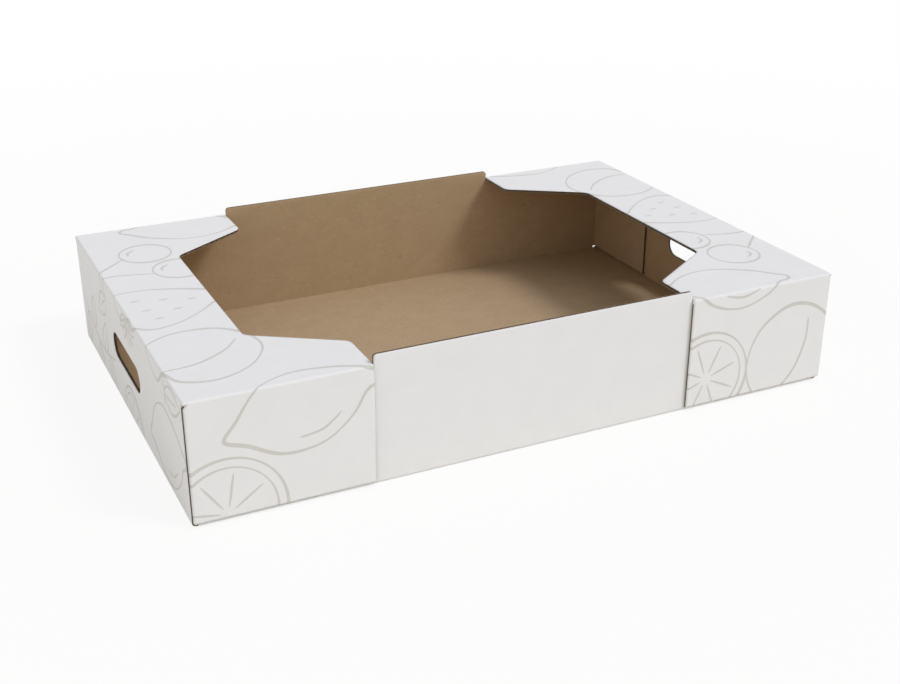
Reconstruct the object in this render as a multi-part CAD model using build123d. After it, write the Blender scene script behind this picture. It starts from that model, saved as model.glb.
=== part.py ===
from build123d import *
import os

# Produce tray of corrugated board: one die-cut blank, folded up and glued.
# Millimetres, +Z up. The origin is the middle of the base's underside. X runs along
# the long walls and Y along the end walls.

# Driving dimensions
LENGTH = 600.0         # over the two end walls
WIDTH = 400.0          # over the side flaps
HEIGHT = 107.0         # from the ground to the top of the shelves
BOARD = 3.0            # board thickness, liner to liner
FOLD_RADIUS = 1.5      # outside of every fold; the crease is sharp on its inside
SLIT = 0.5             # die-cut gap between edges that aren't glued

# Long walls
TAB_RISE = 7.5         # raised stacking edge, above the shelves
TAB_GAP = 1.0          # from the stacking edge to a shelf's arm
TAB_CORNER = 3.0       # rounding of its two corners
GLUE_TAB = 106.0       # glue tab along the inside of an end wall
GLUE_TAB_LIFT = 3.0    # its lower edge, above the base

# Shelves
SHELF_DEPTH = 77.0     # end wall's face to the shelf's straight inner edge
ARM_REACH = 151.0      # end wall's face to the tip of an arm
ARM_WIDTH = 51.0       # side flap's face to the tip of an arm
ARM_FLARE = 48.0       # run along Y of the slant from tip to straight edge
SHELF_CORNER = 10.0    # rounding of the tips and of the inner corners
CORNER_RELIEF = 1.5    # height of the hole under a shelf's outer corner

# Side flaps, as long as the arms that they hang from
FLAP_LIFT = 2.5        # lower edge, above the ground
FLAP_TRIM = 3.0        # cut off its corner at the end wall

# Hand holes, in the middle of the end walls
HAND_LENGTH = 100.0
HAND_HEIGHT = 24.0
HAND_RISE = 43.5       # lower edge, above the ground

# Where the faces of the folded board lie
END_FACE = LENGTH / 2              # end walls, outside
END_INSIDE = END_FACE - BOARD      # end walls, inside: the glue tabs lie on it
TAB_INSIDE = END_INSIDE - BOARD    # glue tabs, inside
FLAP_FACE = WIDTH / 2              # side flaps, outside
WALL_FACE = FLAP_FACE - BOARD      # long walls, outside: the side flaps lie on it
WALL_INSIDE = WALL_FACE - BOARD    # long walls, inside
CEILING = HEIGHT - BOARD           # underside of the shelves


def crease(middle, first, second, run):
    """A fold along `run`: a square bar of board with its outer edge rounded.

    `middle` is on the inner crease line. The outer faces of the two panels lie one
    board's thickness from it, along `first` and `second`.
    """
    plane = Plane(middle, x_dir=first, z_dir=Vector(*first).cross(Vector(*second)))
    bar = Rectangle(BOARD, BOARD, align=Align.MIN)
    outer_edge = bar.vertices().sort_by_distance((0, 0))[-1]
    return extrude(plane * fillet(outer_edge, FOLD_RADIUS), run / 2, both=True)


def base():
    """Bottom panel, inside its four folds."""
    return extrude(Rectangle(2 * END_INSIDE, 2 * WALL_INSIDE), BOARD)


def long_wall():
    """Front wall: base fold, wall with its stacking edge, and a glue tab at each end."""
    half_tab = END_FACE - ARM_REACH - TAB_GAP
    wall = Pos(0, BOARD) * Rectangle(2 * TAB_INSIDE, CEILING - BOARD, align=(Align.CENTER, Align.MIN))
    tab = Pos(0, BOARD) * Rectangle(2 * half_tab, HEIGHT + TAB_RISE - BOARD, align=(Align.CENTER, Align.MIN))
    tab = fillet(tab.vertices().group_by(Axis.Y)[-1], TAB_CORNER)
    panel = extrude(Plane.XZ.offset(WALL_INSIDE) * (wall + tab), BOARD)
    base_fold = crease((0, -WALL_INSIDE, BOARD), (0, -1, 0), (0, 0, -1), 2 * TAB_INSIDE)
    right_tab = glue_tab()
    return panel + base_fold + right_tab + mirror(right_tab, Plane.YZ)


def glue_tab():
    """Tab of the front wall, folded back along the inside of the right end wall."""
    bottom = BOARD + GLUE_TAB_LIFT
    height = CEILING - SLIT - bottom
    free_edge = -(WALL_FACE - GLUE_TAB)
    outline = Pos(free_edge, bottom) * Rectangle(GLUE_TAB - BOARD, height, align=(Align.MAX, Align.MIN))
    fold = crease((TAB_INSIDE, -WALL_INSIDE, bottom + height / 2), (1, 0, 0), (0, -1, 0), height)
    return extrude(Plane.YZ.offset(TAB_INSIDE) * outline, BOARD) + fold


def end_wall():
    """Right end wall with its hand hole, and its fold to the base."""
    half_width = WALL_FACE - SLIT
    outline = Pos(0, BOARD) * Rectangle(2 * half_width, CEILING - BOARD, align=(Align.CENTER, Align.MIN))
    outline -= Pos(0, HAND_RISE + HAND_HEIGHT / 2) * SlotOverall(HAND_LENGTH, HAND_HEIGHT)
    base_fold = crease((END_INSIDE, 0, BOARD), (1, 0, 0), (0, 0, -1), 2 * WALL_INSIDE)
    return extrude(Plane.YZ.offset(END_INSIDE) * outline, BOARD) + base_fold


def shelf():
    """Right shelf: the flap folded in from the end wall's top, cut out round the mouth."""
    tip = (END_FACE - ARM_REACH, FLAP_FACE - ARM_WIDTH)
    root = (END_FACE - SHELF_DEPTH, FLAP_FACE - ARM_WIDTH - ARM_FLARE)
    rear_half = [(END_INSIDE, WALL_FACE), (tip[0], WALL_FACE), tip, root]
    front_half = [(x, -y) for x, y in reversed(rear_half)]
    outline = Polygon(*rear_half, *front_half, align=None)
    cut_corners = [corner for corner in outline.vertices() if abs(corner.Y) < WALL_FACE - BOARD]
    panel = extrude(Plane.XY.offset(CEILING) * fillet(cut_corners, SHELF_CORNER), BOARD)
    end_fold = crease((END_INSIDE, 0, CEILING), (1, 0, 0), (0, 0, 1), 2 * WALL_FACE)
    hole = corner_hole()
    return panel + end_fold - hole - mirror(hole, Plane.XZ)


def side_flap():
    """Flap on the shelf's front arm, folded down over the front wall."""
    free_edge = END_FACE - ARM_REACH
    outline = Pos(free_edge, FLAP_LIFT) * Rectangle(ARM_REACH, CEILING - FLAP_LIFT, align=Align.MIN)
    ground_corner = outline.vertices().group_by(Axis.Y)[0].sort_by(Axis.X)[-1]
    panel = extrude(Plane.XZ.offset(WALL_FACE) * chamfer(ground_corner, FLAP_TRIM), BOARD)
    run = END_INSIDE - free_edge
    return panel + crease((free_edge + run / 2, -WALL_FACE, CEILING), (0, -1, 0), (0, 0, 1), run)


def shelf_corner():
    """Outer front corner of the shelf, where its two folds run into each other over a small hole."""
    corner = (END_INSIDE, -WALL_FACE, CEILING)
    end_fold = crease(corner, (1, 0, 0), (0, 0, 1), 2 * BOARD)
    flap_fold = crease(corner, (0, -1, 0), (0, 0, 1), 2 * BOARD)
    return (end_fold & flap_fold) - corner_hole()


def corner_hole():
    """Hole under that corner, where the slit beside the end wall ends."""
    return Pos(END_INSIDE, -FLAP_FACE, CEILING) * Box(BOARD, BOARD + SLIT, CORNER_RELIEF, align=Align.MIN)


def tray():
    """The folded blank, from one end, one side and their mirror images."""
    front_corner = side_flap() + shelf_corner()
    right_end = end_wall() + shelf() + front_corner + mirror(front_corner, Plane.XZ)
    front = long_wall()
    return base() + right_end + mirror(right_end, Plane.YZ) + front + mirror(front, Plane.XZ)


os.makedirs("parts", exist_ok=True)
export_step(tray(), "parts/folded_tray.step")
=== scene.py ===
import math
from collections import namedtuple

import bpy
import numpy as np
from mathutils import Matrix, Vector
from mathutils.geometry import delaunay_2d_cdt


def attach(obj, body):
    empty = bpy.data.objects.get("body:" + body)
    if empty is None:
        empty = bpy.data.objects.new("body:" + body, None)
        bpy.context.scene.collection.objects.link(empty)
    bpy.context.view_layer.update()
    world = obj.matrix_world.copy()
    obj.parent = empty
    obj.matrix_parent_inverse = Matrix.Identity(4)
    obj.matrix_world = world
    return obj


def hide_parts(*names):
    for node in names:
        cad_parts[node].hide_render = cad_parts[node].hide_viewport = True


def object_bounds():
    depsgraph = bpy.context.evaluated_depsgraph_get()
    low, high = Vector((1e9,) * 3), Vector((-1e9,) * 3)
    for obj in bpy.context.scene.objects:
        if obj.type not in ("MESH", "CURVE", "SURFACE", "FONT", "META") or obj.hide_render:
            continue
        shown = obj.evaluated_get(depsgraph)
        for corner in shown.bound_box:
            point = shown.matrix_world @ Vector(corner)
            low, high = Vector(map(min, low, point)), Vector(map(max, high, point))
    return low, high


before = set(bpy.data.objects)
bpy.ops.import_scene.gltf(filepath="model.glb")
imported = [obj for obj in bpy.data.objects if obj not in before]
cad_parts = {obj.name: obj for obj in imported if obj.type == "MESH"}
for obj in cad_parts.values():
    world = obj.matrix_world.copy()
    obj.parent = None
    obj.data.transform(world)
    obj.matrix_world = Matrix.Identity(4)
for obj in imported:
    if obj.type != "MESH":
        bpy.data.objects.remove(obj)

# A produce tray, folded from one blank of corrugated board. The blank is drawn flat in millimetres
# on its outer liner, printed, triangulated, folded up and given its thickness. u runs along the long
# walls and v along the end walls, and both start in the middle of the base.

MM = 0.001
NODE = "folded_tray"
CAD_LOW, CAD_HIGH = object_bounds()

# Sizes in millimetres
LENGTH = (CAD_HIGH.x - CAD_LOW.x) / MM
WIDTH = (CAD_HIGH.y - CAD_LOW.y) / MM
TOP = CAD_HIGH.z / MM      # raised stacking edges
TAB_RISE = 7.5             # stacking edge, above the shelves
HEIGHT = TOP - TAB_RISE    # top of the shelves
BOARD = 3.0                # thickness of the board, liner to liner
GLUE_GAP = 0.1             # between glued faces
SHEET = BOARD - GLUE_GAP   # thickness of the folded sheet
FOLD_RADIUS = 2.2          # outside of the folds at the shelves and glue tabs
BASE_RADIUS = 2.8          # outside of the folds round the base
SLIT = 0.5                 # between edges that aren't glued
CORNER_SLIT = 1.0          # between the base's folds where they meet
TAB_GAP = 0.3              # stacking edge to a shelf's arm
TAB_CORNER = 3.0           # rounding of the stacking edge's corners
GLUE_TAB = 106.0           # length of the glue tabs
GLUE_TAB_LIFT = 0.9        # their lower edge, above the base
SHELF_DEPTH = 77.0         # end wall's face to the shelf's straight inner edge
ARM_REACH = 151.0          # end wall's face to the tip of an arm
ARM_WIDTH = 51.0           # side flap's face to the tip of an arm
ARM_FLARE = 48.0           # run along v of the slant from tip to straight edge
SHELF_CORNER = 10.0        # rounding of the tips and of the inner corners
FLAP_LIFT = 3.2            # a side flap's lower edge, above the ground
FLAP_TRIM = 1.3            # cut off its lower corner beside the end wall
FLAP_SET_BACK = 0.6        # its edge there, short of the end wall's face
HOLE_WIDTH = 2.4           # hole under a shelf's outer corner, where the slit beside the end wall ends
HOLE_HEIGHT = 3.0
WALL_CUT = 4.0             # long wall's top corner, cut back behind that hole
HAND_LENGTH = 100.0        # hand holes, in the middle of the end walls
HAND_HEIGHT = 24.0
HAND_RISE = 43.5           # their lower edge, above the ground
HAND_POINTS = 17           # round each end of a hand hole
ROUND_STEP = math.radians(9)    # most that a rounded corner turns from point to point

# The board's section at a cut
FLUTE_PITCH = 6.388        # B flute; the flutes run along v
FLUTE_STEPS = 6            # points for each flute along a cut
EDGE = 2.0                 # width of the band that the die rounds off, and depth of the open flutes
FLAP_CRUSH = 0.8           # how far it presses the outer liner in, on the side flaps
OUTER_CRUSH = 0.2          # the same on the other panels
INNER_CRUSH = 0.3          # how far it presses the inner liner in
SHOULDER_DEPTH = 0.25      # middle of the rounded band: share of the crush at which it lies
SHOULDER_BACK = 0.35       # and share of EDGE by which it lies back from the cut
PRESSED = 1.0              # past both sides of a side flap's fold, where its cut end is pressed shut
PAPER = 0.25               # thickness of a liner and of the medium
PAPER_GAP = 0.04           # between them at the top of a flute

# Where the faces of the folded board lie
END_FACE = LENGTH / 2              # end walls, outside
END_INSIDE = END_FACE - BOARD      # end walls, inside: the glue tabs lie on it
TAB_INSIDE = END_INSIDE - BOARD    # glue tabs, inside
FLAP_FACE = WIDTH / 2              # side flaps, outside
WALL_FACE = FLAP_FACE - BOARD      # long walls, outside: the side flaps lie on it
WALL_INSIDE = WALL_FACE - BOARD    # long walls, inside
CEILING = HEIGHT - BOARD           # underside of the shelves
ARM_TIP = END_FACE - ARM_REACH     # free edge of the shelves' arms and side flaps

# Folds: the length of an arc on the outer liner, and where the flat after each one starts
ARC = FOLD_RADIUS * math.pi / 2
BASE_ARC = BASE_RADIUS * math.pi / 2
ARC_STEPS = 6              # rows of faces round a fold
EASE = 6.0                 # from a fold's middle, where the inner liner lies straight again
U_END = END_FACE - BASE_RADIUS + BASE_ARC
U_SHELF = U_END + HEIGHT - BASE_RADIUS - FOLD_RADIUS + ARC
U_TAB = END_INSIDE - FOLD_RADIUS + ARC
V_WALL = WALL_FACE - BASE_RADIUS + BASE_ARC
V_FLAP = FLAP_FACE - FOLD_RADIUS + ARC

# Tolerances
TINY = 1e-3                # room for rounding where places are compared
NEAR = 0.25                # the same where points are picked out along a cut
MERGE = 1e-4               # points of the flat mesh that lie nearer become one


def end_u(z):
    """u of a height on the end wall."""
    return U_END + z - BASE_RADIUS


def shelf_u(x):
    """u of an X on the shelf and its side flaps."""
    return U_SHELF + END_FACE - FOLD_RADIUS - x


def tab_u(y):
    """u of a Y on the glue tab."""
    return U_TAB + WALL_FACE - FOLD_RADIUS - y


def wall_v(z):
    """v of a height on the long wall and its glue tabs."""
    return V_WALL + z - BASE_RADIUS


def flap_v(z):
    """v of a height on the side flap."""
    return V_FLAP + HEIGHT - FOLD_RADIUS - z


TAB_BOTTOM = wall_v(BOARD + GLUE_TAB_LIFT)
TAB_TOP = wall_v(CEILING - SLIT)
TAB_END = tab_u(WALL_FACE - GLUE_TAB)
FLAP_END = shelf_u(END_FACE - FLAP_SET_BACK)
U_SLOT = (TAB_END + FLAP_END) / 2             # between a glue tab and a side flap
U_END_MIDDLE = (U_END + U_SHELF - ARC) / 2    # half-way up the end wall


# The blank's outline

def rounded(path):
    """A path of (u, v, radius) corners with each radius as an arc."""
    points = [np.array(path[0][:2])]
    for before, corner, after in zip(path, path[1:], path[2:]):
        place, radius = np.array(corner[:2]), corner[2]
        if radius == 0:
            points.append(place)
            continue
        to_before = np.array(before[:2]) - place
        to_after = np.array(after[:2]) - place
        to_before /= np.linalg.norm(to_before)
        to_after /= np.linalg.norm(to_after)
        half = math.acos(to_before @ to_after) / 2
        middle = to_before + to_after
        centre = place + middle / np.linalg.norm(middle) * radius / math.sin(half)
        start = place + to_before * radius / math.tan(half) - centre
        end = place + to_after * radius / math.tan(half) - centre
        sweep = math.pi - 2 * half
        for t in np.linspace(0, 1, 2 + int(sweep / ROUND_STEP)):
            turned = start * math.sin((1 - t) * sweep) + end * math.sin(t * sweep)
            points.append(centre + turned / math.sin(sweep))
    points.append(np.array(path[-1][:2]))
    return points


def blank_outline():
    """The die-cut outline, clockwise, from one quarter of it and its mirror images."""
    half_tab = ARM_TIP - TAB_GAP
    arm_edge = FLAP_FACE - ARM_WIDTH
    quarter = rounded([
        (0, wall_v(TOP), 0),
        (half_tab, wall_v(TOP), TAB_CORNER),
        (half_tab, wall_v(CEILING), 0),
        (TAB_INSIDE - WALL_CUT, wall_v(CEILING), 0),
        (TAB_INSIDE, TAB_TOP - WALL_CUT, 0),
        (U_TAB, TAB_TOP - WALL_CUT, 0),
        (U_TAB + WALL_CUT, TAB_TOP, 0),
        (TAB_END, TAB_TOP, 0),
        (TAB_END, TAB_BOTTOM, 0),
        (TAB_INSIDE, TAB_BOTTOM, 0),
        (TAB_INSIDE, WALL_INSIDE, 0),
        (TAB_INSIDE + CORNER_SLIT, WALL_INSIDE, 0),
        (TAB_INSIDE + CORNER_SLIT, WALL_FACE - CORNER_SLIT, 0),
        (end_u(BOARD), WALL_FACE - CORNER_SLIT, 0),
        (end_u(BOARD), WALL_FACE - SLIT, 0),
        (U_SHELF - ARC, WALL_FACE - SLIT, 0),
        (U_SHELF - ARC, V_FLAP, 0),
        (shelf_u(END_FACE - HOLE_WIDTH), V_FLAP, 0),
        (FLAP_END, V_FLAP + HOLE_HEIGHT, 0),
        (FLAP_END, flap_v(FLAP_LIFT + FLAP_TRIM), 0),
        (FLAP_END + FLAP_TRIM, flap_v(FLAP_LIFT), 0),
        (shelf_u(ARM_TIP), flap_v(FLAP_LIFT), 0),
        (shelf_u(ARM_TIP), arm_edge, SHELF_CORNER),
        (shelf_u(END_FACE - SHELF_DEPTH), arm_edge - ARM_FLARE, SHELF_CORNER),
        (shelf_u(END_FACE - SHELF_DEPTH), 0, 0),
    ])
    loop = []
    for side, backwards in (((1, 1), False), ((1, -1), True), ((-1, -1), False), ((-1, 1), True)):
        run = [point * side for point in quarter]
        loop += run[:0:-1] if backwards else run[:-1]
    return np.array(loop)


def hand_hole(side):
    """Outline of the slot in one end wall, counterclockwise."""
    middle = end_u(HAND_RISE + HAND_HEIGHT / 2) * side
    radius = HAND_HEIGHT / 2
    straight = HAND_LENGTH / 2 - radius
    turns = np.linspace(0, math.pi, HAND_POINTS)
    cap = np.column_stack([radius * np.cos(turns), straight + radius * np.sin(turns)])
    return np.vstack([cap, -cap]) + [middle, 0]


def cut_lines():
    """The blank's outline and its two hand holes."""
    return [blank_outline(), hand_hole(1), hand_hole(-1)]


def unit(vectors):
    """The vectors, each with a length of 1."""
    return vectors / np.linalg.norm(vectors, axis=1, keepdims=True)


def right_normals(along):
    """Unit normals to the right of edges."""
    return unit(np.column_stack([along[:, 1], -along[:, 0]]))


def mitre(before, after):
    """From the normals of two edges that meet: how the corner moves when both move by 1."""
    return (before + after) / (1 + (before * after).sum(1, keepdims=True))


def liner_loop(cut_line):
    """The line along a cut up to which the liners lie flat."""
    normals = right_normals(np.roll(cut_line, -1, 0) - cut_line)
    return cut_line + EDGE * mitre(np.roll(normals, 1, 0), normals)


def edge_ends(loops):
    """Start and end of every edge of some closed loops."""
    return np.vstack(loops), np.vstack([np.roll(loop, -1, 0) for loop in loops])


def out_to_cut(rim_places):
    """Points of the liner loops, moved straight out to the cuts.

    Beside a notch they close up, to keep their order.
    """
    cut_start, cut_end = edge_ends(cut_lines())
    rim_start, rim_end = edge_ends([liner_loop(cut_line) for cut_line in cut_lines()])
    along = unit(cut_end - cut_start)

    # The edge of a liner loop that each point lies on
    offset = rim_places[:, None] - rim_start
    aside = offset[..., 0] * along[:, 1] - offset[..., 1] * along[:, 0]
    done = (offset * along).sum(2)
    rim_run = np.linalg.norm(rim_end - rim_start, axis=1)
    edge = ((abs(aside) < TINY) & (done > -TINY) & (done < rim_run + TINY)).argmax(1)

    # How much shorter the cut is than the rim's edge, at its start and at its end
    lead = ((cut_start - rim_start) * along).sum(1)[edge]
    trail = ((rim_end - cut_end) * along).sum(1)[edge]
    cut_run = np.linalg.norm(cut_end - cut_start, axis=1)[edge]
    rim_run = rim_run[edge]
    done = done[np.arange(len(edge)), edge]
    left = rim_run - done

    # Straight out, but at half the distance near an end where the cut is shorter
    place = done - lead + np.maximum(lead - done / 2, 0) - np.maximum(trail - left / 2, 0)
    crowded = 2 * (np.maximum(lead, 0) + np.maximum(trail, 0)) > rim_run
    place = np.where(crowded, done * cut_run / rim_run, place)
    place = np.where(done < TINY, 0, np.where(left < TINY, cut_run, place))
    return cut_start[edge] + along[edge] * place[:, None]


def across_flutes(loop):
    """The loop with points added where it runs across the flutes."""
    points = []
    for start, end in zip(loop, np.roll(loop, -1, 0)):
        steps = max(1, round(abs(end[0] - start[0]) / FLUTE_PITCH * FLUTE_STEPS))
        points += [start + (end - start) * step / steps for step in range(steps)]
    return points


def crease_lines():
    """Rows of edges along each fold, so that the folded mesh is round there."""
    lines = []
    steps = np.linspace(-1, 0, ARC_STEPS + 1)
    for side in (1, -1):
        tip = side * shelf_u(ARM_TIP)
        for step in steps:
            wall = side * (V_WALL + step * BASE_ARC)
            lines.append(((-TAB_INSIDE, wall), (TAB_INSIDE, wall)))
            end = side * (U_END + step * BASE_ARC)
            lines.append(((end, -WALL_FACE), (end, WALL_FACE)))
            shelf = side * (U_SHELF + step * ARC)
            lines.append(((shelf, -V_FLAP), (shelf, V_FLAP)))
            tab = side * (U_TAB + step * ARC)
            lines.append(((tab, TAB_BOTTOM), (tab, TAB_TOP)))
            lines.append(((tab, -TAB_BOTTOM), (tab, -TAB_TOP)))
        for step in (-ARC - PRESSED, *steps * ARC, PRESSED):
            flap = V_FLAP + step
            lines.append(((side * (U_SHELF - ARC), flap), (tip, flap)))
            lines.append(((side * (U_SHELF - ARC), -flap), (tip, -flap)))
    return lines


# Folding

Bend = namedtuple("Bend", "out_along out_rise in_along in_rise turn")


def bend(past, radius=FOLD_RADIUS):
    """A right-angle fold, at a distance past its end along the outer liner.

    Gives points of both liners, measured from the fold's outer corner.
    """
    half_arc = radius * math.pi / 4
    s = past + half_arc
    turn = np.clip((s + half_arc) / radius, 0, math.pi / 2)
    along = radius * (np.sin(turn) - 1) + np.minimum(s + half_arc, 0)
    rise = radius * (1 - np.cos(turn)) + np.maximum(s - half_arc, 0)
    shift = radius - half_arc - SHEET
    reach = np.where(abs(s) < EASE, abs(s) * (EASE + shift) / EASE, abs(s) + shift)
    return Bend(along, rise, -SHEET - np.where(s < 0, reach, 0), SHEET + np.where(s > 0, reach, 0), turn)


def fold_long_side(u, v):
    """Long wall with its base fold and glue tabs."""
    wall = bend(v - V_WALL, BASE_RADIUS)
    tab = bend(u - U_TAB)
    outer = (END_INSIDE + tab.out_along, WALL_FACE + wall.out_along - tab.out_rise, wall.out_rise)
    inner = (END_INSIDE + tab.in_along, WALL_FACE + wall.in_along - tab.in_rise + SHEET, wall.in_rise)
    normal = (np.sin(tab.turn), np.cos(tab.turn) * np.sin(wall.turn), -np.cos(wall.turn))
    return np.stack([outer, inner, normal])


def fold_base(u, v):
    """Base and the lower half of the end wall."""
    end = bend(u - U_END, BASE_RADIUS)
    wall = bend(v - V_WALL, BASE_RADIUS)
    inner_y = np.where(u <= TAB_INSIDE + TINY, WALL_FACE + wall.in_along, v)
    outer = (END_FACE + end.out_along, v, end.out_rise)
    inner = (END_FACE + end.in_along, inner_y, end.in_rise)
    normal = (np.sin(end.turn), 0 * v, -np.cos(end.turn))
    return np.stack([outer, inner, normal])


def fold_shelf(u, v):
    """Upper half of the end wall, shelf and side flaps.

    The two folds round the shelf's corner together.
    """
    end = bend(u - U_SHELF)
    flap = bend(v - V_FLAP)
    on_flap = v > V_FLAP + TINY
    on_wall = end.turn == 0
    corner = ~on_flap & (end.in_along < -SHEET) & (flap.in_rise > SHEET)
    flat_x = END_FACE - FOLD_RADIUS + U_SHELF - u
    crown = FOLD_RADIUS * np.sin(end.turn) * np.cos(flap.turn)
    drop = np.maximum(v - V_FLAP, 0) + np.where(on_flap, 0, np.maximum(U_SHELF - ARC - u, 0))
    outer = (
        np.where(on_flap, flat_x, END_FACE - end.out_rise),
        FLAP_FACE + flap.out_along,
        HEIGHT - FOLD_RADIUS + np.where(on_flap, 0, crown) - drop,
    )
    inner_z = HEIGHT - flap.in_rise + np.where(on_flap, 0, end.in_along + SHEET)
    inner = (
        np.where(on_flap, flat_x, END_FACE - end.in_rise),
        np.where(on_wall & ~on_flap, np.minimum(v, FLAP_FACE - SHEET), FLAP_FACE + flap.in_along),
        np.where(corner, HEIGHT - SHEET, inner_z),
    )
    normal = (
        np.where(on_flap, 0, np.cos(end.turn)),
        np.where(on_flap, 1, np.sin(flap.turn)),
        np.where(on_flap, 0, np.sin(end.turn) * np.cos(flap.turn)),
    )
    return np.stack([outer, inner, normal])


def fold(points):
    """Points of the flat blank, folded up.

    Gives them on the outer liner and on the inner liner, and the outer normals.
    """
    side = np.where(points < 0, -1.0, 1.0)
    u, v = abs(points).T
    beside_notch = (u <= TAB_INSIDE + TINY) | (v >= TAB_BOTTOM - TINY)
    long_side = (v > WALL_FACE - BASE_RADIUS) & beside_notch & (u < U_SLOT)
    folded = np.where(u < U_END_MIDDLE, fold_base(u, v), fold_shelf(u, v))
    folded = np.where(long_side, fold_long_side(u, v), folded)
    outer, inner, normal = (rows.T * np.column_stack([side, np.ones(len(u))]) for rows in folded)
    return outer, inner, unit(normal)


# Print: line drawings of fruit and leaves, as strokes with a width

Stroke = namedtuple("Stroke", "points half_width closed")
PEN = 1.3                  # half the width of a line
INNER_PEN = 0.8 * PEN      # a lemon's gleam and the lines between citrus segments
FINE_PEN = 0.7 * PEN       # a leaf's midrib and the edge of a citrus fruit's pith
STROKE_STEP = 2.0          # between the points of a stroke
SWELL = 0.35               # share by which a closed line grows wider and narrower
SWELL_PHASE = 0.8          # radians by which that is turned
TIP = 0.35                 # share of its width that an open line has at its ends
TAPER = 0.6                # power of its taper: below 1, it stays wide for longer
LEAF_SKEW = 0.8            # power that moves a leaf's widest place towards its base
LEAF_LOWER = 0.8           # its second side's bow, as a share of the first one's
RIB_BOW = 0.15             # the same for its midrib
RIB_REACH = 0.75           # share of the leaf's length that the midrib runs along


def spline(controls, closed=False):
    """A smooth curve through its control points."""
    ends = controls[-1:] + controls + controls[:2] if closed else controls[:1] + controls + controls[-1:]
    ends = np.array(ends, float)
    points = []
    for p0, p1, p2, p3 in zip(ends, ends[1:], ends[2:], ends[3:]):
        steps = max(2, int(np.linalg.norm(p2 - p1) / STROKE_STEP))
        for t in np.arange(steps) / steps:
            bow = (2 * p0 - 5 * p1 + 4 * p2 - p3) * t + (3 * p1 - p0 - 3 * p2 + p3) * t * t
            points.append(p1 + 0.5 * t * (p2 - p0 + bow))
    if not closed:
        points.append(ends[-2])
    return np.array(points)


def circle(centre, radius):
    """Points round a circle."""
    turns = np.arange(0, 2 * math.pi, STROKE_STEP / radius)
    return np.column_stack([np.cos(turns), np.sin(turns)]) * radius + centre


def outline(points, pen=PEN):
    """A closed stroke that swells twice on its way round, as a brush line does."""
    t = np.linspace(0, 2 * math.pi, len(points), endpoint=False)
    return Stroke(points, pen * (1 + SWELL * np.sin(2 * t + SWELL_PHASE)), True)


def line(points, pen=PEN):
    """An open stroke that tapers to its ends."""
    t = np.linspace(0, 1, len(points))
    return Stroke(points, pen * (TIP + (1 - TIP) * np.sin(math.pi * t) ** TAPER), False)


def leaf(base, tip, bulge):
    """A leaf from two bowed lines and a midrib."""
    base, tip = np.array(base, float), np.array(tip, float)
    t = np.linspace(0, 1, 2 + int(np.linalg.norm(tip - base) / STROKE_STEP))[:, None]
    across = np.array([base[1] - tip[1], tip[0] - base[0]]) / np.linalg.norm(tip - base)
    middle = base + (tip - base) * t
    bow = across * np.sin(math.pi * t ** LEAF_SKEW) * bulge
    rib = (middle + RIB_BOW * bow)[: int(len(t) * RIB_REACH)]
    return [line(middle + bow), line(middle - LEAF_LOWER * bow), line(rib, FINE_PEN)]


# Each drawing is in millimetres round its own middle, before it is turned and scaled

def lemon():
    body = [(-52, 0), (-40, 9), (-20, 25), (6, 29), (28, 20), (41, 8), (50, 5), (53, -1), (46, -7),
            (30, -20), (4, -30), (-22, -25), (-42, -9)]
    gleam = [(-8, 19), (8, 20), (22, 14)]
    return [outline(spline(body, True)), line(spline(gleam), INNER_PEN)]


def cherries():
    radius = 22
    stalks_meet = (7, 50)
    strokes = leaf((7, 49), (-30, 62), 11)
    for x, y in ((-25, -22), (24, -30)):
        strokes.append(outline(circle((x, y), radius)))
        strokes.append(line(spline([(x + 1, y + 20), (0.4 * x, 20), stalks_meet])))
        strokes.append(line(spline([(x - 13, y + 4), (x - 9, y + 12), (x - 2, y + 14)])))
    return strokes


def citrus_half():
    """Rind, pith and the lines between the segments."""
    rind, pith = 37, 31
    ray_start, ray_end, ray_points = 5, 27, 12
    segments = 8
    strokes = [outline(circle((0, 0), rind)), outline(circle((0, 0), pith), FINE_PEN)]
    for turn in np.arange(segments) * 2 * math.pi / segments:
        ray = np.array([math.cos(turn), math.sin(turn)])
        strokes.append(line(np.linspace(ray_start, ray_end, ray_points)[:, None] * ray, INNER_PEN))
    return strokes


def plum():
    body = [(0, 38), (22, 40), (40, 22), (42, -8), (26, -36), (0, -45), (-26, -37), (-43, -10), (-40, 20),
            (-22, 40)]
    cleft = [(0, 38), (10, 14), (9, -14), (1, -34)]
    stem = [(0, 38), (-3, 50), (-10, 60)]
    strokes = [outline(spline(body, True)), line(spline(cleft)), line(spline(stem))]
    return strokes + leaf((-4, 50), (38, 66), 11)


def strawberry():
    body = [(0, 30), (20, 34), (36, 22), (34, -2), (18, -30), (0, -46), (-18, -30), (-34, -2), (-36, 22),
            (-20, 34)]
    strokes = [outline(spline(body, True))]
    for turn in np.radians((-70, -35, 0, 35, 70)):
        strokes += leaf((0, 30), (26 * math.sin(turn), 32 + 18 * math.cos(turn)), 5)[:2]
    half_seed, seed_points = 3.5, 5
    for x, y in ((-18, 12), (2, 12), (20, 10), (-10, -6), (11, -8), (0, -24)):
        strokes.append(line(np.linspace((x, y + half_seed), (x + 1, y - half_seed), seed_points)))
    return strokes


def sprig():
    strokes = [line(spline([(-60, -10), (-25, 4), (15, 6), (58, -8)]))]
    for base, tip in (((-38, 0), (-46, 34)), ((-22, 5), (-14, -28)), ((-2, 7), (6, 40)),
                      ((16, 6), (30, -26)), ((34, 1), (56, 26))):
        strokes += leaf(base, tip, 9)
    return strokes


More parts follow.
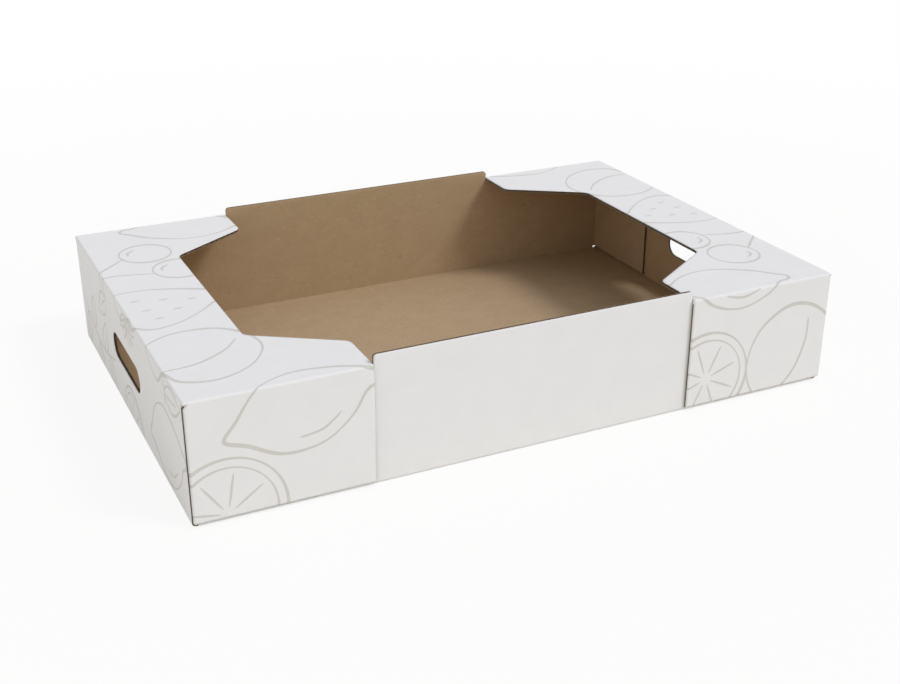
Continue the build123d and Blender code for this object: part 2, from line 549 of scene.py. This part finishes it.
# Where the drawings stand on one end of the blank: u, v, degrees turned and scale. The other end has
# the same, turned half round.
PRINT = [
    (lemon, shelf_u(208), flap_v(84), -14, 1.25),
    (citrus_half, shelf_u(272), flap_v(6), 10, 1.3),
    (plum, shelf_u(264), 122, 62, 1.1),
    (strawberry, shelf_u(268), 12, 80, 1.2),
    (cherries, shelf_u(268), -88, 78, 1.1),
    (lemon, shelf_u(196), -180, 187, 1.2),
    (citrus_half, shelf_u(168), -flap_v(28), 25, 1.2),
    (plum, shelf_u(262), -flap_v(34), 204, 1.1),
    (lemon, end_u(40), 136, 76, 1.15),
    (sprig, end_u(34), -120, 97, 1.2),
    (citrus_half, end_u(-4), 10, 0, 1.0),
]


def printed_strokes():
    """All strokes of the print, on the flat blank."""
    placed = []
    for motif, u, v, degrees, scale in PRINT:
        cos, sin = math.cos(math.radians(degrees)), math.sin(math.radians(degrees))
        rotate = np.array([[cos, sin], [-sin, cos]])
        for stroke in motif():
            points = stroke.points @ rotate * scale + [u, v]
            placed.append(Stroke(points, stroke.half_width, stroke.closed))
            placed.append(Stroke(-points, stroke.half_width, stroke.closed))
    return placed


def stroke_sides(stroke):
    """The two edges of a stroke, as loops or as one loop round an open stroke."""
    points = stroke.points
    if stroke.closed:
        along = np.roll(points, -1, 0) - np.roll(points, 1, 0)
    else:
        along = np.gradient(points, axis=0)
    offset = right_normals(along) * stroke.half_width[:, None]
    if stroke.closed:
        return [points + offset, points - offset]
    return [np.vstack([points + offset, (points - offset)[::-1]])]


def inked(places, strokes):
    """Which of the places lie on a stroke."""
    found = np.zeros(len(places), bool)
    for points, half_width, closed in strokes:
        if closed:
            points = np.vstack([points, points[:1]])
            half_width = np.append(half_width, half_width[0])
        wide = half_width.max()
        near = np.all((places > points.min(0) - wide) & (places < points.max(0) + wide), axis=1)
        index = np.flatnonzero(near & ~found)
        start, run = points[:-1], np.diff(points, axis=0)
        offset = places[index][:, None] - start
        t = np.clip((offset * run).sum(2) / (run * run).sum(1), 0, 1)
        distance = np.linalg.norm(offset - t[..., None] * run, axis=2)
        found[index] = np.any(distance < half_width[:-1] + np.diff(half_width) * t, axis=1)
    return found


# Mesh

WHITE, INK, KRAFT, CUT = range(4)    # slots of the mesh's materials
ROUND_BANDS = 2                      # bands of faces from the outer liner to the cut

# Shading across those bands: how much of the direction out to the cut is added to the liner's normal
# in their middle, and how much of that normal is left at the cut
SHOULDER_LEAN = 0.7
CUT_LEAN = 0.35


def inside(places, loop):
    """Which of the places lie inside a closed loop."""
    x, y = places[:, :1], places[:, 1:]
    a, b = loop, np.roll(loop, -1, 0)
    crosses = (a[:, 1] > y) != (b[:, 1] > y)
    level = a[:, 1] == b[:, 1]
    at = a[:, 0] + (y - a[:, 1]) * (b[:, 0] - a[:, 0]) / np.where(level, 1, b[:, 1] - a[:, 1])
    return np.sum(crosses & (x < at), axis=1) % 2 == 1


def triangulate(strokes):
    """The flat part of the liners as points and triangles, and which triangles are ink."""
    border, *holes = (liner_loop(cut_line) for cut_line in cut_lines())
    loops = [across_flutes(loop) for loop in (border, *holes)]
    for stroke in strokes:
        loops += stroke_sides(stroke)
    points, edges = [], []
    for loop in loops:
        first = len(points)
        points += [Vector(point) for point in loop]
        edges += [(first + i, first + (i + 1) % len(loop)) for i in range(len(loop))]
    for start, end in crease_lines():
        edges.append((len(points), len(points) + 1))
        points += [Vector(start), Vector(end)]
    places, _, triangles, *_ = delaunay_2d_cdt(points, edges, [], 0, MERGE)
    places = np.array([tuple(place) for place in places])
    triangles = np.array(triangles)
    middles = places[triangles].mean(1)
    kept = inside(middles, border)
    for hole in holes:
        kept &= ~inside(middles, hole)
    used, triangles = np.unique(triangles[kept], return_inverse=True)
    return places[used], triangles.reshape(-1, 3), inked(middles[kept], strokes)


def border_edges(triangles):
    """Directed edges that only one triangle has, and the number of that triangle."""
    edges = np.vstack([triangles[:, [0, 1]], triangles[:, [1, 2]], triangles[:, [2, 0]]]).tolist()
    there = {tuple(edge) for edge in edges}
    single = [i for i, (start, end) in enumerate(edges) if (end, start) not in there]
    return np.array(edges)[single], np.array(single) % len(triangles)


def cut_section(cut_line, shut):
    """Section of a cut edge, from the outer to the inner liner.

    Gives each corner's depth and how far it lies back from the cut. Where the edge is shut, the corners
    inside the flutes come forward and are spread evenly.
    """
    u, v = cut_line.T
    on_flap = (abs(u) > U_SLOT) & (abs(v) > V_FLAP - ARC)
    crush = np.where(on_flap, FLAP_CRUSH, OUTER_CRUSH)
    top = crush + PAPER
    bottom = SHEET - INNER_CRUSH - PAPER
    swing = (bottom - top - PAPER) / 2 - PAPER_GAP
    upper = (bottom + top - PAPER) / 2 + swing * np.cos(u * 2 * math.pi / FLUTE_PITCH)
    lower = upper + PAPER
    back = np.where(shut, 0, EDGE)
    above = np.where(shut, (upper - top) / 3, 0)
    below = np.where(shut, (bottom - lower) / 3, 0)
    return [
        (SHOULDER_DEPTH * crush, SHOULDER_BACK * EDGE), (crush, 0), (top, 0),
        (top + above, back), (upper - above, back), (upper, 0),
        (lower, 0), (lower + below, back), (bottom - below, back),
        (bottom, 0), (SHEET - INNER_CRUSH, 0),
    ]


def tray_mesh():
    """The folded sheet: both liners, and along each cut the rounded edge with its open flutes."""
    places, triangles, ink = triangulate(printed_strokes())
    edges, owner = border_edges(triangles)
    outer, inner, normal = fold(places)
    count = len(places)

    # Out from the liners' rim to the cut
    rim = np.unique(edges)
    cut_line = out_to_cut(places[rim])
    outward = (cut_line - places[rim]) / EDGE

    # No open flutes where a fold runs out to a cut
    creased = abs(normal[rim]).max(1) < 1 - TINY
    at_tip = abs(cut_line[:, 0]) > shelf_u(ARM_TIP) - NEAR
    tip_fold = at_tip & (abs(abs(cut_line[:, 1]) - V_FLAP + ARC / 2) < ARC / 2 + PRESSED + NEAR)
    shut = creased | tip_fold
    rows = []
    for depth, back in cut_section(cut_line, shut):
        row_outer, row_inner, _ = fold(cut_line - outward * np.reshape(back, (-1, 1)))
        rows.append(row_outer + (row_inner - row_outer) * np.reshape(depth, (-1, 1)) / SHEET)
    verts = np.vstack([outer, inner, *rows]) * MM

    # Vertex numbers along each row, for both ends of every border edge
    rim_number = np.zeros(count, int)
    rim_number[rim] = np.arange(len(rim))
    numbers = [edges]
    for row in range(len(rows)):
        numbers.append(2 * count + row * len(rim) + rim_number[edges])
    numbers.append(count + edges)

    # The outer liner is pressed over the cut end of a side flap's fold
    wrapped = tip_fold[rim_number[edges]].all(1)
    liner_slot = np.where(ink, INK, WHITE)
    faces = [*triangles[:, ::-1].tolist(), *(triangles + count).tolist()]
    slots = [liner_slot, np.full(len(triangles), KRAFT)]
    for band, (near, far) in enumerate(zip(numbers, numbers[1:])):
        faces += np.column_stack([near, far[:, ::-1]]).tolist()
        if band < ROUND_BANDS:
            slots.append(liner_slot[owner])
        elif band < len(rows):
            slots.append(np.where(wrapped, WHITE, CUT))
        else:
            slots.append(np.full(len(edges), KRAFT))

    mesh = bpy.data.meshes.new("folded_sheet")
    mesh.from_pydata(verts.tolist(), [], faces, shade_flat=False)
    mesh.polygons.foreach_set("material_index", np.concatenate(slots))
    corners = np.zeros(len(mesh.loops), int)
    mesh.loops.foreach_get("vertex_index", corners)
    flat = np.vstack([places, places] + [cut_line] * len(rows))
    mesh.uv_layers.new(name="Blank").data.foreach_set("uv", (flat[corners] * MM).ravel())
    mesh.update()

    # Smooth normals on the outer liner and round its edges, flat ones elsewhere
    face_normals = np.zeros(len(faces) * 3)
    mesh.polygons.foreach_get("normal", face_normals)
    shading = np.repeat(face_normals.reshape(-1, 3), [len(face) for face in faces], axis=0)
    facing_out = unit(rows[1] - outer[rim])
    smooth = np.vstack([
        normal, np.zeros_like(normal),
        unit(normal[rim] + SHOULDER_LEAN * facing_out), unit(CUT_LEAN * normal[rim] + facing_out),
    ])
    liner_corners = 3 * len(triangles)
    band_corners = 4 * len(edges)
    rounded_edge = slice(2 * liner_corners, 2 * liner_corners + ROUND_BANDS * band_corners)
    for part in (slice(liner_corners), rounded_edge):
        shading[part] = smooth[corners[part]]
    mesh.normals_split_custom_set(shading.tolist())
    return mesh


# Materials

MIX_FACTOR, MIX_A, MIX_B, MIX_RESULT = 0, 6, 7, 2    # a Mix node's sockets for colours


def add(tree, kind, sockets=None, **settings):
    """A new node with its settings, and its sockets set or linked."""
    made = tree.nodes.new("ShaderNode" + kind)
    for name, value in settings.items():
        setattr(made, name, value)
    for name, value in (sockets or {}).items():
        if isinstance(value, bpy.types.NodeSocket):
            tree.links.new(value, made.inputs[name])
        else:
            made.inputs[name].default_value = value
    return made


def math_node(tree, operation, a, b=0.0):
    """Result of a Math node, whose inputs may be sockets."""
    return add(tree, "Math", {0: a, 1: b}, operation=operation).outputs[0]


def blend_colour(tree, factor, a, b):
    """Colour between a and b, either of which may be a socket."""
    sockets = {MIX_FACTOR: factor, MIX_A: a, MIX_B: b}
    return add(tree, "Mix", sockets, data_type="RGBA").outputs[MIX_RESULT]


def between(tree, value, low, high, top=1.0):
    """0 below low, top above high, and smooth between them."""
    sockets = {"Value": value, "From Min": low, "From Max": high, "To Max": top}
    return add(tree, "MapRange", sockets, interpolation_type="SMOOTHSTEP").outputs["Result"]


def ramp(tree, value, source, target):
    """A value in the source's range, carried over to the target's in a straight line."""
    sockets = {
        "Value": value,
        "From Min": source[0], "From Max": source[1],
        "To Min": target[0], "To Max": target[1],
    }
    return add(tree, "MapRange", sockets).outputs["Result"]


def noise(tree, where, per_metre, detail, roughness=0.55):
    """Noise with its own number of features in a metre each way."""
    scaled = add(tree, "VectorMath", {0: where, 1: per_metre}, operation="MULTIPLY").outputs[0]
    sockets = {"Vector": scaled, "Scale": 1.0, "Detail": detail, "Roughness": roughness}
    return add(tree, "TexNoise", sockets).outputs[0]


def new_material(name):
    """A material and its empty node tree."""
    material = bpy.data.materials.new(name)
    material.use_nodes = True
    tree = material.node_tree
    tree.nodes.clear()
    return material, tree


def bump(tree, height, strength, distance):
    """Normals from a height, of which 1 stands for a distance in millimetres."""
    sockets = {"Height": height, "Strength": strength, "Distance": distance * MM}
    return add(tree, "Bump", sockets).outputs[0]


def surface(tree, colour, roughness, specular, normal):
    """A principled surface joined to the output."""
    shader = add(tree, "BsdfPrincipled", {
        "Base Color": colour,
        "Roughness": roughness,
        "Specular IOR Level": specular,
        "Normal": normal,
    })
    add(tree, "OutputMaterial", {"Surface": shader.outputs[0]})


def tinted(tree, colour, layers):
    """A colour with layers over it.

    Each has its pattern, the values at which that starts and is full, its share and its colour.
    """
    for pattern, start, full, share, tint in layers:
        colour = blend_colour(tree, between(tree, pattern, start, full, share), colour, tint)
    return colour


def rgb(red, green, blue):
    """A colour written as 8-bit screen values, as the shader's linear one by the sRGB curve."""
    def linear(value):
        value /= 255
        return value / 12.92 if value <= 0.04045 else ((value + 0.055) / 1.055) ** 2.4
    return linear(red), linear(green), linear(blue), 1.0


WHITE_PAPER = rgb(239, 239, 237), rgb(237, 237, 235)    # light and dark clouds
PRINTED_LINE = rgb(214, 212, 205), rgb(210, 208, 201)
COATED_ROUGH = 0.48
COATED_ROUGHER = 0.15      # added to it where the grain is high
COATED_FLUTES = 0.15       # how far the flutes show through, against the paper's grain
KRAFT_FLUTES = 0.2
KRAFT_BROWN = rgb(183, 158, 124)
CUT_BROWN = rgb(134, 116, 92)
# painted shade: a grey copy of the cut's colour, for the look that the cuts facing along X have in shade
PAINTED_SHADE_GREY = rgb(130, 126, 120)


def blank_place(tree):
    """Where a point lies on the flat blank, in metres."""
    return add(tree, "UVMap", uv_map="Blank").outputs[0]


def flute_wave(tree, where):
    """Height of the flutes under the liner, from -1 to 1."""
    u = add(tree, "SeparateXYZ", {0: where}).outputs[0]
    return math_node(tree, "COSINE", math_node(tree, "MULTIPLY", u, 2 * math.pi / (FLUTE_PITCH * MM)))


def coated_liner(name, light, dark):
    """Clay-coated paper: even, with a fine grain and the flutes just showing through."""
    material, tree = new_material(name)
    where = blank_place(tree)
    clouds = noise(tree, where, (40, 40, 1), detail=4.0)
    grain = noise(tree, where, (900, 1800, 1), detail=2.0)
    colour = tinted(tree, dark, [(clouds, 0.3, 0.7, 1.0, light)])
    flutes = math_node(tree, "MULTIPLY", flute_wave(tree, where), COATED_FLUTES)
    relief = bump(tree, math_node(tree, "ADD", flutes, grain), strength=0.2, distance=0.03)
    rougher = between(tree, grain, 0.2, 0.8, COATED_ROUGHER)
    rough = math_node(tree, "ADD", rougher, COATED_ROUGH)
    surface(tree, colour, rough, specular=0.35, normal=relief)
    return material


def kraft_liner():
    """Brown kraft paper: faint clouds, fibres along the machine direction, and pale and dark flecks."""
    material, tree = new_material("kraft_liner")
    where = blank_place(tree)
    clouds = noise(tree, where, (45, 60, 1), detail=2.0)
    mottle = noise(tree, where, (170, 240, 1), detail=4.0, roughness=0.65)
    fibres = noise(tree, where, (260, 1300, 1), detail=4.0, roughness=0.7)
    grain = noise(tree, where, (1500, 1500, 1), detail=3.0, roughness=0.65)
    pale = noise(tree, where, (130, 700, 1), detail=1.0)
    dark = noise(tree, where, (200, 380, 1), detail=1.0)
    colour = tinted(tree, KRAFT_BROWN, [
        (clouds, 0.3, 0.7, 1.0, rgb(187, 162, 128)),
        (mottle, 0.55, 0.8, 0.5, rgb(204, 180, 147)),
        (mottle, 0.45, 0.2, 0.5, rgb(160, 133, 98)),
        (fibres, 0.5, 0.75, 0.4, rgb(208, 185, 152)),
        (grain, 0.5, 0.2, 0.4, rgb(146, 118, 84)),
        (pale, 0.68, 0.74, 0.4, rgb(222, 202, 172)),
        (dark, 0.74, 0.78, 0.4, rgb(118, 90, 60)),
    ])
    flutes = math_node(tree, "MULTIPLY", flute_wave(tree, where), KRAFT_FLUTES)
    height = math_node(tree, "ADD", math_node(tree, "ADD", grain, fibres), flutes)
    relief = bump(tree, height, strength=0.3, distance=0.06)
    surface(tree, colour, roughness=0.85, specular=0.2, normal=relief)
    return material


def cut_edge():
    """Die-cut paper edges: torn fibres, and painted shade as a greyer copy of their colour where the cut
    faces along X, as most cuts along the flutes do.
    """
    material, tree = new_material("cut_edge")
    place = add(tree, "TexCoord").outputs
    where = place["Object"]
    # painted shade mask: full where the cut faces along X, which is mostly where it runs along the flutes
    painted_shade_mask = math_node(tree, "ABSOLUTE", add(tree, "SeparateXYZ", {0: place["Normal"]}).outputs["X"])
    fibres = noise(tree, where, (2500, 2500, 2500), detail=3.0, roughness=0.7)
    patches = noise(tree, where, (120, 120, 120), detail=2.0)
    brown = tinted(tree, CUT_BROWN, [(patches, 0.3, 0.7, 1.0, rgb(152, 134, 109))])
    # painted shade: a grey copy of the cut's colour with the same patches, blended in below where the cut
    # faces along X
    painted_shade_colour = tinted(tree, PAINTED_SHADE_GREY, [(patches, 0.3, 0.7, 1.0, rgb(146, 142, 136))])
    colour = tinted(tree, brown, [
        (painted_shade_mask, 0.5, 0.9, 1.0, painted_shade_colour),
        (fibres, 0.5, 0.75, 0.5, rgb(176, 162, 142)),
        (fibres, 0.5, 0.25, 0.5, rgb(84, 72, 58)),
    ])
    relief = bump(tree, fibres, strength=0.7, distance=0.2)
    surface(tree, colour, roughness=0.9, specular=0.15, normal=relief)
    return material


# The piece

def make_tray():
    """The folded sheet with its papers, which replaces the solid."""
    mesh = tray_mesh()
    mesh.materials.append(coated_liner("white_liner", *WHITE_PAPER))
    mesh.materials.append(coated_liner("printed_line", *PRINTED_LINE))
    mesh.materials.append(kraft_liner())
    mesh.materials.append(cut_edge())
    tray = bpy.data.objects.new("folded_sheet", mesh)
    bpy.context.scene.collection.objects.link(tray)
    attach(tray, "root")
    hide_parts(NODE)


# Studio

# Metres, and colours of light as shares of red, green and blue
FLOOR_RADIUS = 14.0
FLOOR_SIDES = 96
FLOOR_DROP = 0.0003            # below the tray
FLOOR_COLOUR = rgb(244, 241, 234)
SHADOW_SHARE = 0.11            # how much of the floor's shading shows near the tray
SHADOW_START = 0.4             # distance from the tray's middle at which it starts to fade
SHADOW_REACH = 1.6             # distance at which none of it shows
CONTACT = 0.006                # reach of the dark line where the tray meets the floor
CONTACT_OPEN = 0.15            # share of open sky above the floor at which that line ends
CONTACT_SAMPLES = 4
AMBIENT = 0.585                # strength of the sky in the middle
LEFT_FILL = 0.85               # how much brighter the sky is low on the left than in the middle
LEFT_HEIGHT = 0.15             # up to where: 0 is the horizon and 1 is overhead
RIGHT_GLOW = 0.6               # how much brighter it is high on the right
RIGHT_HEIGHT = 0.6             # from where on
SKY_ABOVE = (0.985, 1.005, 1.12, 1)
SKY_SIDES = (1.02, 0.985, 0.95, 1)
SIDES_HEIGHT = 0.45            # up to where the sky has the colour of its sides
ABOVE_HEIGHT = 0.75            # from where on it has the one above
WHITE_LIGHT = (1, 1, 1, 1)
KEY_ENERGY = 1.22
KEY_COLOUR = (0.995, 1.0, 1.03)
KEY_FROM = Vector((0.66, -0.6, 1.0))
KEY_DISTANCE = 2.0             # in lengths of KEY_FROM; it doesn't change a sun's light
KEY_ANGLE = math.radians(17)

# Camera: its direction from the tray, its distance and target in metres, and its lens in millimetres
CAMERA_AZIMUTH = math.radians(-25.62)
CAMERA_ELEVATION = math.radians(24.409)
CAMERA_DISTANCE = 1.255013
CAMERA_TARGET = Vector((0.01134, 0, 0.013233))
CAMERA_LENS = 51.423
CAMERA_SENSOR = 36.0


def seen_directly(tree):
    """1 for rays that show the background, 0 for those that only carry light."""
    path = add(tree, "LightPath").outputs
    shown = math_node(tree, "MAXIMUM", path["Is Glossy Ray"], path["Is Transmission Ray"])
    return math_node(tree, "MAXIMUM", path["Is Camera Ray"], shown)


def make_floor():
    """A white floor that keeps the tray's shadow near it and runs into the background further off."""
    bpy.ops.mesh.primitive_circle_add(
        vertices=FLOOR_SIDES, radius=FLOOR_RADIUS, fill_type="NGON", location=(0, 0, -FLOOR_DROP))
    floor = bpy.context.object
    floor.name = "studio_floor"
    material, tree = new_material("studio_floor")
    paint = add(tree, "BsdfDiffuse", {"Color": FLOOR_COLOUR})
    glow = add(tree, "Emission", {"Color": WHITE_LIGHT, "Strength": 1.0})
    where = add(tree, "TexCoord").outputs["Object"]
    distance = add(tree, "VectorMath", {0: where}, operation="LENGTH").outputs["Value"]
    fade = ramp(tree, distance, (SHADOW_START, SHADOW_REACH), (1 - SHADOW_SHARE, 1.0))
    sky_seen = add(tree, "AmbientOcclusion", {"Distance": CONTACT}, samples=CONTACT_SAMPLES)
    lit = between(tree, sky_seen.outputs["AO"], 0.0, CONTACT_OPEN)
    share = math_node(tree, "MULTIPLY", fade, lit)
    share = math_node(tree, "MULTIPLY", share, seen_directly(tree))
    mixed = add(tree, "MixShader", {0: share, 1: paint.outputs[0], 2: glow.outputs[0]})
    add(tree, "OutputMaterial", {"Surface": mixed.outputs[0]})
    floor.data.materials.append(material)


def make_light():
    """A soft sky, cooler overhead than at the sides, and a broad key light from the front right."""
    world = bpy.data.worlds.new("studio")
    world.use_nodes = True
    tree = world.node_tree
    tree.nodes.clear()
    direction = add(tree, "SeparateXYZ", {0: add(tree, "TexCoord").outputs["Generated"]}).outputs
    above = between(tree, direction["Z"], SIDES_HEIGHT, ABOVE_HEIGHT)
    sky = blend_colour(tree, above, SKY_SIDES, SKY_ABOVE)
    seen = seen_directly(tree)
    colour = blend_colour(tree, seen, sky, WHITE_LIGHT)
    tilt = (-AMBIENT * LEFT_FILL, AMBIENT * RIGHT_GLOW)
    slope = ramp(tree, direction["Z"], (LEFT_HEIGHT, RIGHT_HEIGHT), tilt)
    ambient = math_node(tree, "ADD", math_node(tree, "MULTIPLY", direction["X"], slope), AMBIENT)
    strength = ramp(tree, seen, (0.0, 1.0), (ambient, 1.0))
    background = add(tree, "Background", {"Color": colour, "Strength": strength})
    add(tree, "OutputWorld", {"Surface": background.outputs[0]})
    bpy.context.scene.world = world
    key = bpy.data.lights.new("key_light", "SUN")
    key.energy = KEY_ENERGY
    key.color = KEY_COLOUR
    key.angle = KEY_ANGLE
    lamp = bpy.data.objects.new("key_light", key)
    lamp.rotation_mode = "QUATERNION"
    lamp.rotation_quaternion = KEY_FROM.to_track_quat("Z", "Y")
    lamp.location = KEY_FROM * KEY_DISTANCE
    bpy.context.scene.collection.objects.link(lamp)


def make_camera():
    """A camera that looks at the tray from the front left and above."""
    back = Vector((
        math.sin(CAMERA_AZIMUTH) * math.cos(CAMERA_ELEVATION),
        -math.cos(CAMERA_AZIMUTH) * math.cos(CAMERA_ELEVATION),
        math.sin(CAMERA_ELEVATION),
    ))
    data = bpy.data.cameras.new("camera")
    data.lens = CAMERA_LENS
    data.sensor_width = CAMERA_SENSOR
    camera = bpy.data.objects.new("camera", data)
    camera.location = CAMERA_TARGET + back * CAMERA_DISTANCE
    camera.rotation_mode = "QUATERNION"
    camera.rotation_quaternion = (-back).to_track_quat("-Z", "Y")
    bpy.context.scene.collection.objects.link(camera)
    bpy.context.scene.camera = camera


make_tray()
make_floor()
make_light()
make_camera()
bpy.context.scene.view_settings.view_transform = "Standard"
